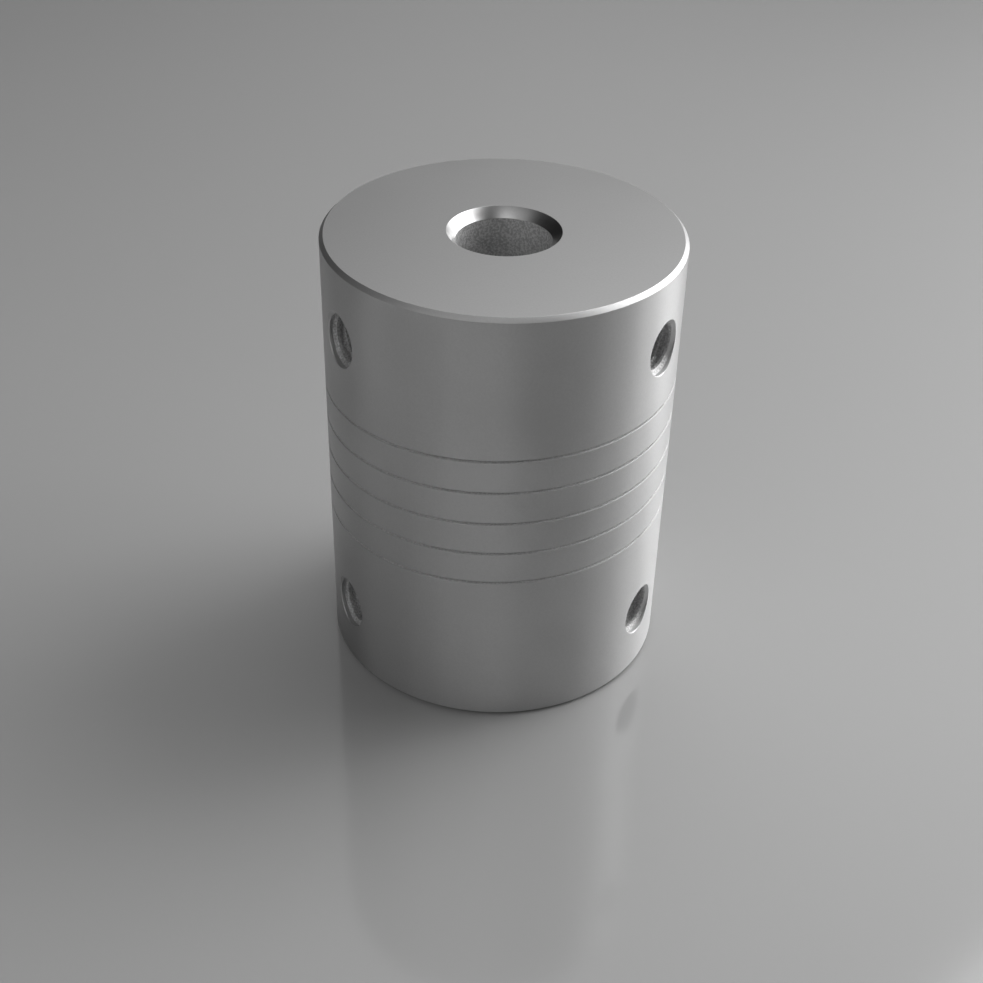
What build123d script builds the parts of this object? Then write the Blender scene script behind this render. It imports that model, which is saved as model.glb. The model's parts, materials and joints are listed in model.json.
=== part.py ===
from build123d import *

import os
from math import cos, radians, tan

# Helical beam coupling that joins two shafts end to end, with set screws.
#
# Lengths are in millimetres and angles in degrees. +Z runs along the shaft axis
# from the lower hub to the upper hub, and the origin is the centre of the lower
# end face. Angles round the axis start at +X and grow anticlockwise, seen from
# above. A place along the slit or the beam is counted in turns of the helix.
#
# The coupling is one bar of metal. A single helical slit leaves a flat beam that
# winds from one hub to the other. The beam is divided into quarter turns, so
# that it can bend, twist and stretch: the first quarter belongs to the lower
# hub, the last one to the upper hub, and each of the others is a sub-part.

# The bar
outer_diameter = 19.0
length = 25.0
edge_chamfer = 0.22

# The shaft bore, and the wider bore behind the beam, which keeps it off the shafts
bore_diameter = 5.0
bore_chamfer = 0.5
relief_diameter = 7.0
relief_margin = 0.75

# The helical slit, right-handed
slit_pitch = 1.9
slit_width = 0.15
slit_turns = 5
slit_start_height = 8.455
slit_start_angle = 90.0

# The beam between the slit's turns
beam_turns = slit_turns - 1
quarter = 0.25
quarter_count = round(beam_turns / quarter)
beam_low = slit_width / 2
beam_high = slit_pitch - slit_width / 2

# The tapped holes: M3, drilled to the thread's inner diameter
screw_angles = {"right": -30.0, "left": 210.0}
screw_distance_from_end = 4.0
screw_heights = {"lower": screw_distance_from_end, "upper": length - screw_distance_from_end}
tapped_diameter = 2.5
countersink_diameter = 3.05

# The set screws: M3 x 4, cup point, hexagon socket
screw_length = 4.0
screw_play = 0.03
screw_radius = tapped_diameter / 2 - screw_play
screw_tip_distance = 2.6
screw_end_chamfer = 0.25
point_radius = 0.7
point_angle = 45.0
cup_angle = 30.0
socket_across_flats = 1.5
socket_depth = 2.0
socket_drill_angle = 30.0

# Room that cutting tools have beyond what they cut
overcut = 1.0

# Where the seams of round faces lie, clear of the beam's quarters and of the holes
seam_angle = 45.0


def slit_height(turns):
    """Height of the slit's centre line after that many turns."""
    return slit_start_height + slit_pitch * turns


def helical_block(from_turn, low, high):
    """A quarter turn of a block that climbs with the slit and is wider than the bar's wall.

    Its section stands in a plane through the axis and reaches from low to high,
    both measured from the slit's centre line at from_turn.
    """
    inner = relief_diameter / 2 - overcut
    outer = outer_diameter / 2 + overcut
    middle = (inner + outer) / 2
    section = Plane.XZ * Pos(middle, (low + high) / 2) * Rectangle(outer - inner, high - low)
    path = Helix(pitch=slit_pitch, height=slit_pitch * quarter, radius=middle)
    block = sweep(section, path=path, is_frenet=True)
    return Pos(0, 0, slit_height(from_turn)) * Rot(0, 0, slit_start_angle + 360 * from_turn) * block


def bar_wall():
    """The bar's wall along the beam: a plain tube."""
    tube = Cylinder(outer_diameter / 2, length) - Cylinder(relief_diameter / 2, length)
    return Pos(0, 0, length / 2) * tube


def beam_quarter(index):
    """One quarter turn of the beam, counted from the lower hub."""
    return helical_block(index * quarter, beam_low, beam_high) & bar_wall()


def hub_blank(height, relief_height):
    """A hub turned with its end face down at Z = 0, before the slit and the holes are cut.

    The shaft bore runs up to relief_height, where the wider bore begins.
    """
    outer = outer_diameter / 2
    bore = bore_diameter / 2
    relief = relief_diameter / 2
    profile = Polyline(
        (bore + bore_chamfer, 0),
        (outer - edge_chamfer, 0),
        (outer, edge_chamfer),
        (outer, height),
        (relief, height),
        (relief, relief_height),
        (bore, relief_height),
        (bore, bore_chamfer),
        close=True,
    )
    return Rot(0, 0, seam_angle) * revolve(Plane.XZ * make_face(profile), Axis.Z)


def tapped_hole(height, angle):
    """The cutter for one radial screw hole, from inside the bore to outside the bar."""
    outer = outer_diameter / 2
    hole = tapped_diameter / 2
    mouth = countersink_diameter / 2
    profile = Polyline(
        (0, bore_diameter / 4),
        (hole, bore_diameter / 4),
        (hole, outer - (mouth - hole)),
        (mouth + overcut, outer + overcut),
        (0, outer + overcut),
        close=True,
    )
    cutter = revolve(Plane.XZ * make_face(profile), Axis.Z)
    return Pos(0, 0, height) * Rot(0, 0, angle) * Rot(0, 90, 0) * cutter


def with_holes(hub, height):
    """The hub with its two screw holes cut."""
    for angle in screw_angles.values():
        hub = hub - tapped_hole(height, angle)
    return hub


def lower_hub():
    """The lower hub, with the slit's first turn as its top and the beam's first quarter."""
    top = slit_height(1) - slit_width / 2
    hub = hub_blank(top, slit_height(0) - slit_width / 2 - relief_margin)
    for index in range(4):
        hub = hub - helical_block(index * quarter, -slit_width / 2, slit_pitch + overcut)
    hub = hub + beam_quarter(0)
    return with_holes(hub, screw_heights["lower"])


def upper_hub():
    """The upper hub, with the slit's last turn as its underside and the beam's last quarter."""
    bottom = slit_height(beam_turns) + slit_width / 2
    relief_top = slit_height(slit_turns) + slit_width / 2 + relief_margin
    hub = Pos(0, 0, length) * Rot(180, 0, 0) * hub_blank(length - bottom, length - relief_top)
    for index in range(4):
        turn = beam_turns + index * quarter
        hub = hub - helical_block(turn, -slit_pitch - overcut, slit_width / 2)
    hub = hub + beam_quarter(quarter_count - 1)
    return with_holes(hub, screw_heights["upper"])


def set_screw(height, angle):
    """A set screw in its hole. It is turned with its cup point at Z = 0 and its socket on top."""
    taper = (screw_radius - point_radius) * tan(radians(point_angle))
    cup_depth = point_radius * tan(radians(cup_angle))
    profile = Polyline(
        (0, cup_depth),
        (point_radius, 0),
        (screw_radius, taper),
        (screw_radius, screw_length - screw_end_chamfer),
        (screw_radius - screw_end_chamfer, screw_length),
        (0, screw_length),
        close=True,
    )
    screw = revolve(Plane.XZ * make_face(profile), Axis.Z)
    socket_radius = socket_across_flats / 2 / cos(radians(30))
    socket_floor = screw_length - socket_depth
    hexagon = Plane.XY.offset(socket_floor) * RegularPolygon(socket_radius, 6)
    screw = screw - extrude(hexagon, socket_depth + overcut)
    drill_radius = socket_across_flats / 2
    drill_depth = drill_radius * tan(radians(socket_drill_angle))
    screw = screw - Pos(0, 0, socket_floor - drill_depth / 2) * Cone(0, drill_radius, drill_depth)
    return Pos(0, 0, height) * Rot(0, 0, angle) * Rot(0, 90, 0) * Pos(0, 0, screw_tip_distance) * screw


def parts():
    """Every sub-part in its place, by name."""
    found = {"lower_hub": lower_hub(), "upper_hub": upper_hub()}
    for index in range(1, quarter_count - 1):
        found[f"beam_quarter_{index:02d}"] = beam_quarter(index)
    for hub, height in screw_heights.items():
        for side, angle in screw_angles.items():
            found[f"set_screw_{hub}_{side}"] = set_screw(height, angle)
    return found


os.makedirs("parts", exist_ok=True)
for name, shape in parts().items():
    export_step(shape, f"parts/{name}.step")
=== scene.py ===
import json
from math import ceil, cos, pi, radians, sin, sqrt, tan

import bmesh
import bpy
from mathutils import Matrix, Vector

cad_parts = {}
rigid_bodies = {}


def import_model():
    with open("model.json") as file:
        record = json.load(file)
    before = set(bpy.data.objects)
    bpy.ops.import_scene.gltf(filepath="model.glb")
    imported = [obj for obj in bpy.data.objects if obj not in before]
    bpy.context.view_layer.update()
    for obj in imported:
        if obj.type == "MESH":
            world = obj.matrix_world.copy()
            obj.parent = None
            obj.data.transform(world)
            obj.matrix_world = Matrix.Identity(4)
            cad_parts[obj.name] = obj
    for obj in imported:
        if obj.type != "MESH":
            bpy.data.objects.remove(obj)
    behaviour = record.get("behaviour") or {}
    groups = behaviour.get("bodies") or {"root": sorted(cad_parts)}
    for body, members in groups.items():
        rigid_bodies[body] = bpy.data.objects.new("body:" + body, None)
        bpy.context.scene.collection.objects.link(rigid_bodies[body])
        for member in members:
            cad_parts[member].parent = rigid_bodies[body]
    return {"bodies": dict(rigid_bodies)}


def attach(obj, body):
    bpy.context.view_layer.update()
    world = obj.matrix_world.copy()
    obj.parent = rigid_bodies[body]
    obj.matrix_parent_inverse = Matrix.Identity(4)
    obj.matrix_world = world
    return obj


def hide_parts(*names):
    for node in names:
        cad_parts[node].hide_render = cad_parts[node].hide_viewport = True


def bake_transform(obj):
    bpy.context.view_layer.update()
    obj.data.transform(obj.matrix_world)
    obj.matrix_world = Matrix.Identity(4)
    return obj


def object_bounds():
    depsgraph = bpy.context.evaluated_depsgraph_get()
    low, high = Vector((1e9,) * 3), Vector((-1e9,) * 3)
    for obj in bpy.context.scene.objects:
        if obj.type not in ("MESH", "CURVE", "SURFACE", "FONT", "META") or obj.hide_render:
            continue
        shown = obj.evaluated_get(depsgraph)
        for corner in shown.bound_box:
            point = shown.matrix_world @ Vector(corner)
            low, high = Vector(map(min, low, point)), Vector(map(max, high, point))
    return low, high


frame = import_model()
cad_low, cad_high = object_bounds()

# A helical beam coupling on a pale studio floor.
#
# Shapes are worked out in millimetres and put into Blender in metres. The metal
# body is one piece on the real coupling, so its visual pieces meet edge to edge:
# two hubs, each with the beam's first or last eighth of a turn, and between them
# beam pieces of a quarter turn. Angles round the axis start at +X and grow
# anticlockwise from above, and places along the slit are counted in turns.

MM = 0.001

# Taken from the frame
OUTER = (cad_high.x - cad_low.x) / 2 / MM
LENGTH = (cad_high.z - cad_low.z) / MM

# The bar, its bores and its chamfers
BORE = 2.5
RELIEF = 3.5
EDGE_CHAMFER = 0.22
BORE_CHAMFER = 0.5
RELIEF_MARGIN = 0.75

# The slit and the beam between its turns. The slit's walls lie at least SLIT_FROM_END
# from both ends.
PITCH = 1.9
SLIT = 0.15
SLIT_TURNS = 5
SLIT_START = 8.455
SLIT_ANGLE = radians(90)
SLIT_FROM_END = min(SLIT_START, LENGTH - SLIT_START - PITCH * SLIT_TURNS) - SLIT
STUB_TURNS = 1 / 8
PIECE_TURNS = 1 / 4

# Broken edges, and how far in from the outside a face still counts as an outer edge
SLIT_EDGE = 0.03
TURNED_EDGE = 0.025
RELIEF_FILLET = 0.1
OUTER_EDGE = 0.3

# How finely round shapes are divided, the least angle that is shaded as sharp, how
# near points are welded in metres, and how near a point is to be on a surface
STEPS = 240
EDGE_STEPS = 3
SHARP = radians(28)
WELD = 2e-7
ON_SURFACE = 0.001

# Cosines above which a face counts as level, and as lying along a round surface
LEVEL = 0.9
ALONG_ROUND = 0.93

# Room that cutting tools have beyond what they cut
OVERCUT = 1.0

# The tapped holes and set screws, M3. A thread's crest and flank are shares of its pitch
SCREW_ANGLES = {"right": radians(-30), "left": radians(210)}
SCREW_FROM_END = 4.0
SCREW_HEIGHTS = {"lower": SCREW_FROM_END, "upper": LENGTH - SCREW_FROM_END}
THREAD_PITCH = 0.5
THREAD_CREST = 0.14
THREAD_FLANK = 0.29
THREAD_STEPS = 48
HOLE_RIDGE = 1.25
HOLE_GROOVE = 1.5
HOLE_MOUTH = 1.525
SCREW_RIDGE = 1.465
SCREW_GROOVE = 1.19
SCREW_LENGTH = 4.0
SCREW_TIP = 2.6
POINT_RADIUS = 0.7
CUP_ANGLE = radians(30)
SOCKET_FLATS = 1.5
SOCKET_DEPTH = 2.0
SOCKET_CHAMFER = 0.08
DRILL_PLAY = 0.02
DRILL_ANGLE = radians(30)
SCREW_CHAMFER = 0.3

# The places of the bar's finishes in metal_finishes
SIDE, ENDS, EDGES, HOLES, SLIT_WALLS = range(5)

# The camera: how far from the axis and how high it is, then its angles and lens
CAMERA_AWAY = 70.24
CAMERA_HEIGHT = 58.21
CAMERA_DOWN = 35.26
CAMERA_TURN = -0.26
CAMERA_ROLL = 1.46
CAMERA_LENS = 54.6

# The studio. Azimuths count from the camera's side towards +X, in degrees.
# Each glow of the surround: azimuth, elevation, how narrow it is, strength
GLOWS = [
    (-5, 55, 30, 1.1),
    (-55, 55, 30, 0.4),
    (180, 64, 14, 1.08),
    (120, 38, 24, 2.2),
    (150, 38, 24, 1.4),
    (180, 38, 24, 0.34),
    (120, 12, 40, 3.5),
    (140, 12, 40, 1.4),
    (180, 12, 40, 0.17),
    (-80, 12, 40, 0.5),
    (-60, 12, 40, 0.44),
    (-20, 12, 40, 0.42),
    (0, 12, 40, 0.3),
    (0, -90, 1, 0.5),
]

# Each softbox: name, azimuth, elevation, power in watts
SOFTBOXES = [
    ("key", 120, 55, 0.09),
    ("right", 100, 35, 0.048),
    ("right_front", 80, 35, 0.029),
    ("low_right", 100, 15, 0.035),
    ("low_right_back", 120, 15, 0.03),
    ("left_front", -40, 30, 0.019),
]
SOFTBOX_DISTANCE = 0.2
SOFTBOX_SIDE = 0.09
FLOOR_HALF = 1500.0

BEAM_BODIES = sorted(b for b in frame["bodies"] if b.startswith("beam_quarter"))
CHAIN = ["lower_hub"] + BEAM_BODIES + ["upper_hub"]


# ---------------------------------------------------------------- outlines

def rounded(corners):
    """An outline through (r, z, radius) corners, each rounded by an arc of its radius.

    The first and last corners are the outline's ends if their radius is None.
    """
    outline = []
    count = len(corners)
    for index, (r, z, radius) in enumerate(corners):
        if not radius:
            outline.append((r, z))
            continue
        here = Vector((r, z))
        before = Vector(corners[index - 1][:2]) - here
        after = Vector(corners[(index + 1) % count][:2]) - here
        before.normalize()
        after.normalize()
        half = before.angle(after) / 2
        centre = here + (before + after).normalized() * (radius / sin(half))
        start = here + before * (radius / tan(half)) - centre
        turn = start.angle_signed(here + after * (radius / tan(half)) - centre)
        for step in range(EDGE_STEPS + 1):
            spoke = start.copy()
            spoke.rotate(Matrix.Rotation(-turn * step / EDGE_STEPS, 2))
            outline.append(tuple(centre + spoke))
    return outline


def around(outline, angle, lift=0.0):
    """An (r, z) outline stood in the plane through the axis at that angle."""
    return [(r * cos(angle), r * sin(angle), z + lift) for r, z in outline]


def strip(before, after):
    """The four-sided faces between two outlines with as many points."""
    return [
        [before[i], after[i], after[i + 1], before[i + 1]]
        for i in range(len(before) - 1)
    ]


# ---------------------------------------------------------------- meshes

def piece_from(name, faces):
    """A mesh object from faces given as points in millimetres; equal points are welded."""
    points = [Vector(p) * MM for face in faces for p in face]
    loops = []
    for face in faces:
        start = loops[-1][-1] + 1 if loops else 0
        loops.append(list(range(start, start + len(face))))
    mesh = bpy.data.meshes.new(name)
    mesh.from_pydata(points, [], loops)
    work = bmesh.new()
    work.from_mesh(mesh)
    bmesh.ops.remove_doubles(work, verts=work.verts, dist=WELD)
    bmesh.ops.recalc_face_normals(work, faces=work.faces)
    work.to_mesh(mesh)
    work.free()
    made = bpy.data.objects.new(name, mesh)
    bpy.context.scene.collection.objects.link(made)
    return made


def combine(piece, tool, operation):
    """Applies one boolean to the piece, clears up slivers and removes the tool."""
    step = piece.modifiers.new("combine", "BOOLEAN")
    step.operation = operation
    step.solver = "EXACT"
    step.object = tool
    view = bpy.context.evaluated_depsgraph_get()
    mesh = bpy.data.meshes.new_from_object(piece.evaluated_get(view))
    work = bmesh.new()
    work.from_mesh(mesh)
    bmesh.ops.remove_doubles(work, verts=work.verts, dist=WELD)
    bmesh.ops.dissolve_degenerate(work, edges=work.edges, dist=WELD)
    work.to_mesh(mesh)
    work.free()
    piece.modifiers.clear()
    piece.data = mesh
    mesh.name = piece.name
    bpy.data.objects.remove(tool)


def turned(name, outline, steps):
    """A solid turned about Z from an (r, z) outline."""
    rings = [around(outline, 2 * pi * step / steps) for step in range(steps)]
    faces = []
    for step in range(steps):
        faces += strip(rings[step], rings[(step + 1) % steps])
    return piece_from(name, faces)


def place(piece, matrix):
    """Moves the mesh itself, so that the object stays at the origin."""
    piece.data.transform(matrix)
    piece.data.update()


def hole_matrix(height, angle):
    """From a hole's own frame, with Z out along it from the coupling's axis, to the row frame."""
    lift = Matrix.Translation((0, 0, height * MM))
    return lift @ Matrix.Rotation(angle, 4, "Z") @ Matrix.Rotation(radians(90), 4, "Y")


def end_over_end():
    """Turns the coupling end over end, which leaves a right-hand helix right-handed."""
    return Matrix.Translation((0, 0, LENGTH * MM)) @ Matrix.Rotation(pi, 4, "X")


def shade(piece):
    """Smooth shading with sharp edges, and exact normals on the bar's round and flat faces."""
    mesh = piece.data
    mesh.polygons.foreach_set("use_smooth", [True] * len(mesh.polygons))
    mesh.set_sharp_from_angle(angle=SHARP)
    normals = [tuple(n.vector) for n in mesh.corner_normals]
    for face in mesh.polygons:
        for loop in face.loop_indices:
            exact = exact_normal(mesh.vertices[mesh.loops[loop].vertex_index].co / MM, face.normal)
            if exact:
                normals[loop] = exact
    mesh.normals_split_custom_set(normals)


def exact_normal(point, facing):
    """The true normal of the bar's surface at a point, or None off its round and flat faces."""
    if abs(facing.z) > LEVEL and min(point.z, LENGTH - point.z) < ON_SURFACE:
        return (0.0, 0.0, 1.0 if facing.z > 0 else -1.0)
    radius = sqrt(point.x**2 + point.y**2)
    if min(abs(radius - r) for r in (OUTER, RELIEF, BORE)) > ON_SURFACE:
        return None
    out = Vector((point.x / radius, point.y / radius, 0))
    along = out.dot(facing)
    if abs(along) < ALONG_ROUND:
        return None
    return tuple(out if along > 0 else -out)


# ---------------------------------------------------------------- threads

def thread(name, outer, inner, low, high, least=None):
    """A closed solid with a right-hand thread on it, from low to high along Z.

    The same low, give or take whole turns, puts a screw's ridge in a hole's groove.
    least(z) gives the least radius at a height, if there is one.
    """
    ridge = THREAD_CREST * THREAD_PITCH
    flank = THREAD_FLANK * THREAD_PITCH
    rows = [(outer, 0.0), (outer, ridge), (inner, ridge + flank), (inner, THREAD_PITCH - flank)]
    turns = ceil((high - low) / THREAD_PITCH)
    count = turns * THREAD_STEPS

    def point(row, step):
        radius, offset = rows[row % 4]
        step += (row // 4) * THREAD_STEPS
        angle = 2 * pi * step / THREAD_STEPS
        z = low + THREAD_PITCH * step / THREAD_STEPS + offset
        if least:
            radius = max(radius, least(z))
        return (radius * cos(angle), radius * sin(angle), z)

    faces = []
    for step in range(count):
        for row in range(4):
            near = [point(row, step), point(row, step + 1)]
            faces.append(near + [point(row + 1, step + 1), point(row + 1, step)])
    bottom = [point(0, step) for step in range(THREAD_STEPS + 1)] + [point(row, 0) for row in (3, 2, 1)]
    top = [point(4, count - THREAD_STEPS + step) for step in range(THREAD_STEPS + 1)]
    top += [point(row, count) for row in (3, 2, 1)]
    faces += fan(bottom, (0, 0, low)) + fan(top, (0, 0, high + THREAD_PITCH))
    return piece_from(name, faces)


def fan(loop, centre):
    """Closes a loop of points with triangles to one point."""
    return [[loop[i - 1], loop[i], centre] for i in range(len(loop))]


def tapped_hole(name):
    """The cutter for a tapped hole with a countersunk mouth, along Z from the coupling's axis."""
    def countersink(z):
        return HOLE_MOUTH - (OUTER - z)

    return thread(name, HOLE_GROOVE, HOLE_RIDGE, BORE / 2, OUTER + OVERCUT, countersink)


# ---------------------------------------------------------------- the metal body

def beam_outline():
    """The beam's section, with heights from the slit's centre line."""
    low = SLIT / 2
    high = PITCH - SLIT / 2
    return rounded([
        (OUTER, low, SLIT_EDGE),
        (OUTER, high, SLIT_EDGE),
        (RELIEF, high, SLIT_EDGE),
        (RELIEF, low, SLIT_EDGE),
    ])


def beam_sections(from_turn, turns, start=SLIT_START, angle=SLIT_ANGLE):
    """The beam's outline at every step of a stretch of it."""
    steps = round(turns * STEPS)
    outline = beam_outline()
    sections = []
    for step in range(steps + 1):
        turn = from_turn + step / STEPS
        sections.append(around(outline, angle + 2 * pi * turn, start + PITCH * turn))
    return sections


def beam_walls(sections):
    """The faces between sections of the beam, without its ends."""
    faces = []
    for before, after in zip(sections, sections[1:]):
        faces += strip(before + before[:1], after + after[:1])
    return faces


def beam_piece(index):
    """A quarter turn of the beam, half before and half after the joint of that number."""
    sections = beam_sections(index * PIECE_TURNS - STUB_TURNS, PIECE_TURNS)
    faces = beam_walls(sections) + [sections[0], sections[-1]]
    return piece_from(f"beam_{index:02d}", faces)


def hub_sides(shoulder, relief_height):
    """The turned part of a hub, from its wide bore at the shoulder round to its outside."""
    return rounded([
        (RELIEF, shoulder, None),
        (RELIEF, relief_height, RELIEF_FILLET),
        (BORE, relief_height, TURNED_EDGE),
        (BORE, BORE_CHAMFER, TURNED_EDGE),
        (BORE + BORE_CHAMFER, 0, TURNED_EDGE),
        (OUTER - EDGE_CHAMFER, 0, TURNED_EDGE),
        (OUTER, EDGE_CHAMFER, TURNED_EDGE),
        (OUTER, shoulder, None),
    ])


def hub_crown(shoulder, ramp):
    """The top of a hub beside the slit, from its outside over the ramp to its wide bore."""
    return rounded([
        (OUTER, shoulder, None),
        (OUTER, ramp, SLIT_EDGE),
        (RELIEF, ramp, SLIT_EDGE),
        (RELIEF, shoulder, None),
    ])


def hub_faces(start, angle):
    """A hub that stands on Z = 0, whose slit starts at that height and angle, with the beam's root."""
    ramp = start - SLIT / 2
    shoulder = ramp - 2 * SLIT
    sides = hub_sides(shoulder, ramp - RELIEF_MARGIN)
    faces = []
    for step in range(STEPS):
        here = angle + 2 * pi * step / STEPS
        after = angle + 2 * pi * ((step + 1) % STEPS) / STEPS
        faces += strip(around(sides, here), around(sides, after))
        crown = around(hub_crown(shoulder, ramp + PITCH * step / STEPS), here)
        following = around(hub_crown(shoulder, ramp + PITCH * (step + 1) / STEPS), after)
        faces += strip(crown, following)
    stub = beam_sections(0, STUB_TURNS, start, angle)
    first = around(hub_crown(shoulder, ramp), angle)
    arc = EDGE_STEPS + 1
    root_outer, root_inner = stub[0][:arc], stub[0][-arc:]
    # the last outer and inner faces of the crown pass the slit's end and the beam's root
    outer_wall, inner_wall = faces[-(len(crown) - 1)], faces[-1]
    outer_wall[2:2] = [first[1], root_outer[-1]]
    inner_wall[2:2] = [root_inner[0], first[-2]]
    slit_end = first[1:-1] + root_inner + root_outer
    return faces + [slit_end] + beam_walls(stub) + [stub[-1]]


def hub(name):
    """A hub with its tapped holes. The upper one is the same shape, turned end over end."""
    upper = name == "upper_hub"
    start = LENGTH - SLIT_START - PITCH * SLIT_TURNS if upper else SLIT_START
    angle = -SLIT_ANGLE if upper else SLIT_ANGLE
    made = piece_from(f"{name}_body", hub_faces(start, angle))
    if upper:
        place(made, end_over_end())
    for side_angle in SCREW_ANGLES.values():
        cutter = tapped_hole("cutter")
        place(cutter, hole_matrix(SCREW_HEIGHTS[name.split("_")[0]], side_angle))
        combine(made, cutter, "DIFFERENCE")
    return made


# ---------------------------------------------------------------- set screws

def screw_blank(name):
    """A set screw before it is threaded, along Z, its cup point at Z = 0."""
    outline = [
        (0, POINT_RADIUS * tan(CUP_ANGLE)),
        (POINT_RADIUS, 0),
        (HOLE_GROOVE, HOLE_GROOVE - POINT_RADIUS),
        (HOLE_GROOVE, SCREW_LENGTH - SCREW_CHAMFER),
        (HOLE_GROOVE - SCREW_CHAMFER, SCREW_LENGTH),
        (0, SCREW_LENGTH),
    ]
    return turned(name, outline, 2 * THREAD_STEPS)


def socket_cutters():
    """The hexagon, the drill point under it and the cone that breaks its mouth."""
    flat = SOCKET_FLATS / 2
    corner = flat / cos(radians(30))
    floor = SCREW_LENGTH - SOCKET_DEPTH
    top = SCREW_LENGTH + OVERCUT
    drill = flat - DRILL_PLAY
    tip = floor - drill * tan(DRILL_ANGLE)
    mouth = corner + SOCKET_CHAMFER - SCREW_LENGTH
    return [
        turned("hexagon", [(0, floor), (corner, floor), (corner, top), (0, top)], 6),
        turned("drill", [(0, tip), (drill, floor), (drill, top), (0, top)], THREAD_STEPS),
        turned("cone", [(0, -mouth), (mouth + top, top), (0, top)], 2 * THREAD_STEPS),
    ]


def set_screw():
    """One set screw in its own frame, threaded in step with the tapped holes."""
    made = screw_blank("set_screw")
    start = BORE / 2 - SCREW_TIP
    ridges = thread("ridges", SCREW_RIDGE, SCREW_GROOVE, start, SCREW_LENGTH + OVERCUT)
    combine(made, ridges, "INTERSECT")
    for cutter in socket_cutters():
        combine(made, cutter, "DIFFERENCE")
    return made


# ---------------------------------------------------------------- materials

def nodes_of(name):
    """A new material with its node tree, its shader and a helper that adds nodes."""
    material = bpy.data.materials.new(name)
    material.use_nodes = True
    tree = material.node_tree
    shader = tree.nodes["Principled BSDF"]

    def add(kind, inputs=(), **settings):
        node = tree.nodes.new(kind)
        for key, value in settings.items():
            setattr(node, key, value)
        for socket, value in dict(inputs).items():
            if isinstance(value, bpy.types.NodeSocket):
                tree.links.new(value, node.inputs[socket])
            else:
                node.inputs[socket].default_value = value
        return node

    return material, tree, shader, add


def ramp_between(add, value, low, high, start, end):
    """Maps a value from low..high to start..end, smoothly and clamped."""
    return add(
        "ShaderNodeMapRange",
        {"Value": value, "From Min": low, "From Max": high, "To Min": start, "To Max": end},
        interpolation_type="SMOOTHSTEP",
    ).outputs["Result"]


def blend_colours(add, share, first, second):
    """A colour between two, by share from 0 to 1. A colour mix has its colours at sockets 6 and 7."""
    return add("ShaderNodeMix", {"Factor": share, 6: first, 7: second}, data_type="RGBA").outputs[2]


def turned_aluminium(name, roughness, streak=0.0):
    """Bare aluminium with the fine lines of turning round the axis.

    streak draws highlights out along the axis, across the turning lines.
    """
    material, tree, shader, add = nodes_of(name)
    where = add("ShaderNodeTexCoord").outputs["Object"]
    split = add("ShaderNodeSeparateXYZ", {"Vector": where}).outputs
    radius = add(
        "ShaderNodeVectorMath",
        {0: add("ShaderNodeCombineXYZ", {"X": split["X"], "Y": split["Y"]}).outputs[0]},
        operation="LENGTH",
    ).outputs["Value"]
    lathe = add("ShaderNodeCombineXYZ", {"X": radius, "Y": split["Z"]}).outputs[0]
    lines = add(
        "ShaderNodeTexNoise",
        {"Vector": lathe, "Scale": 11000.0, "Detail": 3.0, "Roughness": 0.6},
        noise_dimensions="2D",
    ).outputs["Fac"]
    mottle = add("ShaderNodeTexNoise", {"Vector": where, "Scale": 260.0, "Detail": 3.0}).outputs["Fac"]
    grain = add("ShaderNodeTexNoise", {"Vector": where, "Scale": 9000.0, "Detail": 2.0}).outputs["Fac"]
    tone = add("ShaderNodeMath", {0: mottle, 1: grain}, operation="ADD").outputs[0]
    share = ramp_between(add, tone, 0.7, 1.3, 0.0, 1.0)
    colour = blend_colours(add, share, (0.60, 0.60, 0.60, 1), (0.63, 0.63, 0.63, 1))
    tree.links.new(colour, shader.inputs["Base Color"])
    rough = ramp_between(add, tone, 0.7, 1.3, roughness + 0.02, roughness - 0.02)
    tree.links.new(rough, shader.inputs["Roughness"])
    relief = add("ShaderNodeMath", {0: lines, 1: grain}, operation="ADD").outputs[0]
    bump = add("ShaderNodeBump", {"Height": relief, "Strength": 0.15, "Distance": 0.000003})
    tree.links.new(bump.outputs["Normal"], shader.inputs["Normal"])
    shader.inputs["Metallic"].default_value = 1.0
    if streak:
        tangent = add("ShaderNodeTangent", direction_type="RADIAL", axis="Z").outputs["Tangent"]
        tree.links.new(tangent, shader.inputs["Tangent"])
        shader.inputs["Anisotropic"].default_value = streak
        shader.inputs["Anisotropic Rotation"].default_value = 0.25
    return material


def cut_aluminium_painted_lighter(name, dark, light, roughness):
    """The rougher surface that cutting leaves inside, mottled from dark to light and painted lighter
    than the turned outside, as painted light that lifts the shade inside the holes and the slit.
    """
    material, tree, shader, add = nodes_of(name)
    where = add("ShaderNodeTexCoord").outputs["Object"]
    grain = add("ShaderNodeTexNoise", {"Vector": where, "Scale": 9000.0, "Detail": 3.0}).outputs["Fac"]
    share = ramp_between(add, grain, 0.35, 0.65, 0.0, 1.0)
    colour = blend_colours(add, share, (dark, dark, dark, 1), (light, light, light, 1))
    tree.links.new(colour, shader.inputs["Base Color"])
    rough = ramp_between(add, grain, 0.3, 0.7, roughness - 0.04, roughness + 0.04)
    tree.links.new(rough, shader.inputs["Roughness"])
    bump = add("ShaderNodeBump", {"Height": grain, "Strength": 0.4, "Distance": 0.000006})
    tree.links.new(bump.outputs["Normal"], shader.inputs["Normal"])
    shader.inputs["Metallic"].default_value = 1.0
    return material


def metal_finishes():
    """The bar's finishes, in the order of SIDE, ENDS, EDGES, HOLES and SLIT_WALLS."""
    return [
        turned_aluminium("turned_side", 0.34, 0.93),
        turned_aluminium("turned_ends", 0.3),
        turned_aluminium("outer_edges", 0.5),
        # painted light: the walls of the bores and tapped holes are painted lighter to lift the shade
        # inside them
        cut_aluminium_painted_lighter("bored_painted_lighter", 0.56, 0.84, 0.66),
        # painted light: the slit walls are painted pale so that the slit shows as a faint line instead
        # of a shaded gap
        cut_aluminium_painted_lighter("sawn_painted_pale", 0.82, 0.93, 0.92),
    ]


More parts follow.
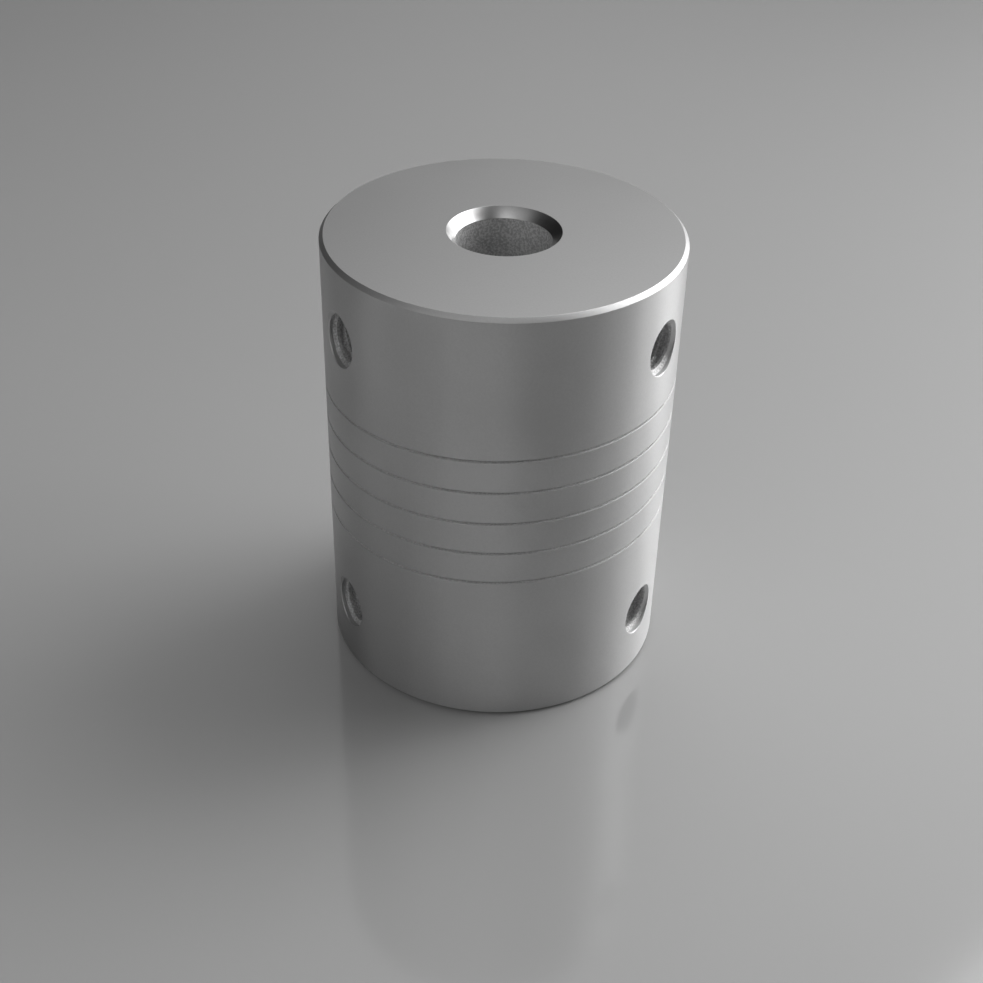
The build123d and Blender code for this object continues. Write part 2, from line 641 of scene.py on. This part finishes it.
def black_oxide():
    """Blackened steel, a little lighter where it is worn."""
    material, tree, shader, add = nodes_of("black_oxide_steel")
    where = add("ShaderNodeTexCoord").outputs["Object"]
    fine = add("ShaderNodeTexNoise", {"Vector": where, "Scale": 2500.0, "Detail": 4.0}).outputs["Fac"]
    broad = add("ShaderNodeTexNoise", {"Vector": where, "Scale": 500.0, "Detail": 2.0}).outputs["Fac"]
    worn = ramp_between(add, fine, 0.55, 0.75, 0.0, 1.0)
    colour = blend_colours(add, worn, (0.045, 0.045, 0.05, 1), (0.12, 0.12, 0.125, 1))
    tree.links.new(colour, shader.inputs["Base Color"])
    tree.links.new(ramp_between(add, broad, 0.3, 0.7, 0.42, 0.3), shader.inputs["Roughness"])
    bump = add("ShaderNodeBump", {"Height": fine, "Strength": 0.3, "Distance": 0.000005})
    tree.links.new(bump.outputs["Normal"], shader.inputs["Normal"])
    shader.inputs["Metallic"].default_value = 1.0
    return material


def studio_floor():
    """A smooth pale floor with a soft gloss."""
    material, tree, shader, add = nodes_of("studio_floor")
    where = add("ShaderNodeTexCoord").outputs["Object"]
    cloud = add("ShaderNodeTexNoise", {"Vector": where, "Scale": 30.0, "Detail": 2.0}).outputs["Fac"]
    tree.links.new(ramp_between(add, cloud, 0.3, 0.7, 0.10, 0.12), shader.inputs["Roughness"])
    shader.inputs["Specular IOR Level"].default_value = 0.45
    shader.inputs["Base Color"].default_value = (0.42, 0.42, 0.42, 1)
    return material


# ---------------------------------------------------------------- the studio

def camera():
    """The camera on the coupling's -Y side, looking down at it and rolled a little."""
    down = radians(CAMERA_DOWN)
    roll = radians(CAMERA_ROLL)
    turn = radians(CAMERA_TURN)
    ahead = Vector((sin(turn) * cos(down), cos(turn) * cos(down), -sin(down)))
    level = ahead.cross(Vector((0, 0, 1))).normalized()
    above = level.cross(ahead)
    right = level * cos(roll) + above * sin(roll)
    up = above * cos(roll) - level * sin(roll)
    data = bpy.data.cameras.new("camera")
    data.sensor_width = 36.0
    data.lens = CAMERA_LENS
    data.clip_start = 0.001
    made = bpy.data.objects.new("camera", data)
    made.matrix_world = Matrix((
        (right.x, up.x, -ahead.x, 0.0),
        (right.y, up.y, -ahead.y, -CAMERA_AWAY * MM),
        (right.z, up.z, -ahead.z, CAMERA_HEIGHT * MM),
        (0, 0, 0, 1),
    ))
    bpy.context.scene.collection.objects.link(made)
    bpy.context.scene.camera = made


def direction(azimuth, elevation):
    """A direction in the studio; azimuth 0 is the camera's side and grows towards +X."""
    a, e = radians(azimuth), radians(elevation)
    return Vector((sin(a) * cos(e), -cos(a) * cos(e), sin(e)))


def softbox(name, azimuth, elevation, power):
    """A square light aimed at the coupling's middle."""
    middle = Vector((0, 0, LENGTH / 2 * MM))
    way = direction(azimuth, elevation)
    data = bpy.data.lights.new(name, "AREA")
    data.size = SOFTBOX_SIDE
    data.energy = power
    made = bpy.data.objects.new(name, data)
    made.location = middle + way * SOFTBOX_DISTANCE
    made.rotation_euler = way.to_track_quat("Z", "Y").to_euler()
    bpy.context.scene.collection.objects.link(made)


def studio():
    """The floor, the softboxes and the glowing surround."""
    half = FLOOR_HALF
    corners = [(-half, -half, 0), (half, -half, 0), (half, half, 0), (-half, half, 0)]
    floor = piece_from("floor", [corners])
    floor.data.materials.append(studio_floor())
    for light in SOFTBOXES:
        softbox(*light)
    surround()
    bpy.context.scene.view_settings.view_transform = "Standard"


def surround():
    """The world behind the floor: broad glows that fade into each other."""
    world = bpy.data.worlds.new("surround")
    world.use_nodes = True
    tree = world.node_tree

    def add(kind, operation, *values):
        node = tree.nodes.new(kind)
        node.operation = operation
        for socket, value in zip(node.inputs, values):
            if isinstance(value, bpy.types.NodeSocket):
                tree.links.new(value, socket)
            else:
                socket.default_value = value
        return node.outputs

    way = tree.nodes.new("ShaderNodeTexCoord").outputs["Generated"]
    total = 0.0
    for azimuth, elevation, narrowness, strength in GLOWS:
        along = add("ShaderNodeVectorMath", "DOT_PRODUCT", way, direction(azimuth, elevation))["Value"]
        ahead = add("ShaderNodeMath", "MAXIMUM", along, 0.0)[0]
        glow = add("ShaderNodeMath", "POWER", ahead, narrowness)[0]
        total = add("ShaderNodeMath", "MULTIPLY_ADD", glow, strength, total)[0]
    tree.links.new(total, tree.nodes["Background"].inputs["Strength"])
    tree.nodes["Background"].inputs["Color"].default_value = (1, 1, 1, 1)
    bpy.context.scene.world = world


# ---------------------------------------------------------------- assembly

def assemble():
    """Makes every piece, and puts the hubs and set screws on their bodies."""
    metal = metal_finishes()
    for name in ("lower_hub", "upper_hub"):
        made = hub(name)
        finish_piece(made, metal)
        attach(made, name)
        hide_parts(name)
    for index in range(1, len(CHAIN)):
        made = beam_piece(index)
        finish_piece(made, metal)
        bend_piece(made)
        if index < len(CHAIN) - 1:
            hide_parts(CHAIN[index])
    steel = [black_oxide()]
    pattern = set_screw()
    for hub_name, height in SCREW_HEIGHTS.items():
        for side, angle in SCREW_ANGLES.items():
            name = f"set_screw_{hub_name}_{side}"
            made = bpy.data.objects.new(f"{name}_threaded", pattern.data.copy())
            bpy.context.scene.collection.objects.link(made)
            place(made, hole_matrix(height, angle) @ Matrix.Translation((0, 0, SCREW_TIP * MM)))
            finish_piece(made, steel)
            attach(made, name)
            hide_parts(name)
    bpy.data.objects.remove(pattern)


def finish_piece(piece, materials):
    """Shades a piece and gives it its materials, by face where it has the bar's finishes."""
    shade(piece)
    piece.data.materials.clear()
    for material in materials:
        piece.data.materials.append(material)
    if len(materials) > 1:
        for face in piece.data.polygons:
            face.material_index = finish_of(piece.data, face)


def finish_of(mesh, face):
    """Which of the bar's finishes a face has, by where it lies."""
    corners = [mesh.vertices[v].co / MM for v in face.vertices]
    least = min(corner.xy.length for corner in corners)
    if least > OUTER - ON_SURFACE:
        return SIDE
    if least > OUTER - OUTER_EDGE:
        return EDGES
    from_end = max(min(corner.z, LENGTH - corner.z) for corner in corners)
    if least > BORE - ON_SURFACE and from_end < BORE_CHAMFER + TURNED_EDGE:
        return ENDS
    in_slit = from_end > SLIT_FROM_END and least > RELIEF - SLIT
    return SLIT_WALLS if in_slit and abs(face.normal.z) > LEVEL else HOLES


def bend_piece(piece):
    """Bakes a beam piece's placement into its mesh."""
    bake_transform(piece)


camera()
studio()
assemble()
